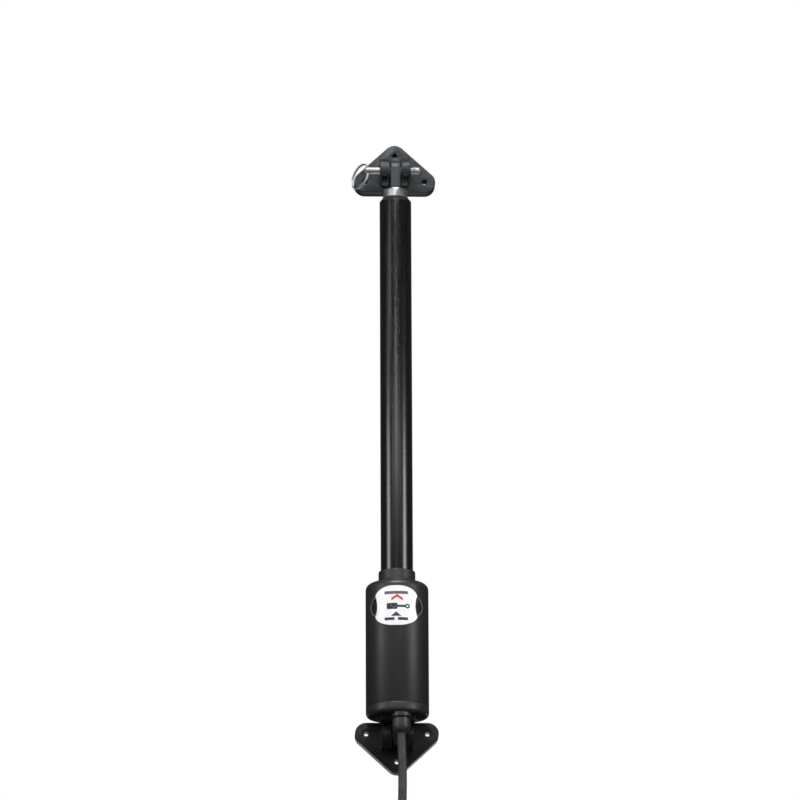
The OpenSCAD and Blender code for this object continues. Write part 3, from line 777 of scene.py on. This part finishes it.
def build_floor():
    """Pale floor below the lowest place that the lead swings to. It shines only for the camera,
    and from below the view passes through it."""
    swing_room, half = 22 * MM, 12.0
    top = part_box("lead_conductors")[0].z - swing_room
    mesh = bpy.data.meshes.new("floor")
    corners = ((-1, -1), (1, -1), (1, 1), (-1, 1))
    mesh.from_pydata([(half * x, half * y, top) for x, y in corners], [], [(0, 1, 2, 3)])
    floor = bpy.data.objects.new("floor", mesh)
    bpy.context.scene.collection.objects.link(floor)
    s = Shader("floor")
    ray = s.nodes.new("ShaderNodeLightPath")
    seen = ray.outputs["Is Camera Ray"]
    s.set(
        Base_Color=s.mix(seen, (0.12, 0.12, 0.12), (0.7, 0.7, 0.7)),
        Roughness=0.6,
        Emission_Color=(0.9, 0.9, 0.9),
        Emission_Strength=s.math("MULTIPLY", seen, 0.62),
    )
    clear = s.nodes.new("ShaderNodeBsdfTransparent")
    geometry = s.nodes.new("ShaderNodeNewGeometry")
    blend = s.nodes.new("ShaderNodeMixShader")
    s.links.new(geometry.outputs["Backfacing"], blend.inputs["Fac"])
    s.links.new(s.base.outputs["BSDF"], blend.inputs[1])
    s.links.new(clear.outputs["BSDF"], blend.inputs[2])
    s.links.new(blend.outputs["Shader"], s.nodes["Material Output"].inputs["Surface"])
    mesh.materials.append(s.material)


def outward(azimuth, elevation):
    """Direction from the object, in degrees. Azimuth 0 is in front of it, 90 on its +X side."""
    a, e = math.radians(azimuth), math.radians(elevation)
    return Vector((math.sin(a) * math.cos(e), -math.cos(a) * math.cos(e), math.sin(e)))


def panel_light(name, azimuth, elevation, distance, aim, width, height, watts, colour, spread):
    """A rectangular lamp aimed at a point from a direction. Its spread is in degrees."""
    target = Vector(aim)
    place = target + distance * outward(azimuth, elevation)
    data = bpy.data.lights.new(name, "AREA")
    data.shape = "RECTANGLE"
    data.size = width
    data.size_y = height
    data.energy = watts
    data.color = colour
    data.spread = math.radians(spread)
    lamp = bpy.data.objects.new(name, data)
    lamp.location = place
    lamp.rotation_euler = (target - place).to_track_quat("-Z", "Y").to_euler()
    lamp.visible_camera = False
    bpy.context.scene.collection.objects.link(lamp)


def build_world():
    """White to the camera, and a dim even studio to everything else."""
    world = bpy.data.worlds.new("studio")
    bpy.context.scene.world = world
    world.use_nodes = True
    nodes, links = world.node_tree.nodes, world.node_tree.links
    white = nodes["Background"]
    white.inputs["Color"].default_value = (1, 1, 1, 1)
    dim = nodes.new("ShaderNodeBackground")
    dim.inputs["Color"].default_value = (1, 1, 1, 1)
    dim.inputs["Strength"].default_value = 0.06
    path = nodes.new("ShaderNodeLightPath")
    mix = nodes.new("ShaderNodeMixShader")
    links.new(path.outputs["Is Camera Ray"], mix.inputs["Fac"])
    links.new(dim.outputs["Background"], mix.inputs[1])
    links.new(white.outputs["Background"], mix.inputs[2])
    links.new(mix.outputs["Shader"], nodes["World Output"].inputs["Surface"])


def build_lights():
    """Panels to the left, front and right for the long streaks, one over the top end, a narrow
    one for the label, and a weak one from behind and below."""
    head, wide, white = (0, 0, 0.66), 180, (1, 1, 1)
    for row in (
        ("left_soft", -60, 0, 1.7, (0, 0, 0.78), 0.62, 1.0, 1.1, white, wide),
        ("left_low", -61, 0, 1.7, (0, 0, 0.44), 0.62, 0.72, 6.0, white, wide),
        ("front_low", -1, 0, 1.9, (0, 0, 0.81), 2.5, 0.3, 3.4, white, wide),
        ("middle_low", -2, 0, 1.9, (0, 0, 0.94), 0.5, 0.5, 1.5, white, wide),
        ("right_low", 56, 0, 1.7, (0, 0, 0.40), 0.6, 0.72, 8.6, (1.0, 0.95, 0.9), wide),
        ("left_high", -45, 0, 1.7, (0, 0, 1.25), 0.5, 0.4, 0.9, (0.95, 0.98, 1.0), wide),
        ("overhead", 0, 52, 1.2, head, 0.9, 0.5, 7.5, (0.94, 0.97, 1.0), wide),
        ("label_fill", -2, 50, 2.0, (0, 0, 0.13), 0.4, 0.4, 0.85, white, 26),
        ("underneath", 180, -50, 1.0, head, 0.8, 0.5, 2.0, white, wide),
    ):
        panel_light(*row)


def build_camera():
    """Long lens, below the object, slightly to its -X side and rolled a touch."""
    aim, distance, roll = Vector((0.0043, 0, 0.386)), 5.5, math.radians(-0.25)
    data = bpy.data.cameras.new("camera")
    data.sensor_width = 36
    data.lens = 219.9
    data.clip_end = 50
    camera = bpy.data.objects.new("camera", data)
    away = outward(-2.0, -16.5)
    camera.location = aim + away * distance
    turn = (-away).to_track_quat("-Z", "Y") @ Quaternion((0, 0, 1), roll)
    camera.rotation_euler = turn.to_euler()
    bpy.context.scene.collection.objects.link(camera)
    bpy.context.scene.camera = camera


dress_cad_nodes()
build_tube()
build_end_cap()
build_housing()
build_label()
build_ram()
build_mouldings()
build_gland()
build_pins()
build_ring()
build_lead()
build_conductors()
build_floor()
build_world()
build_lights()
build_camera()
bpy.context.scene.view_settings.view_transform = "Standard"
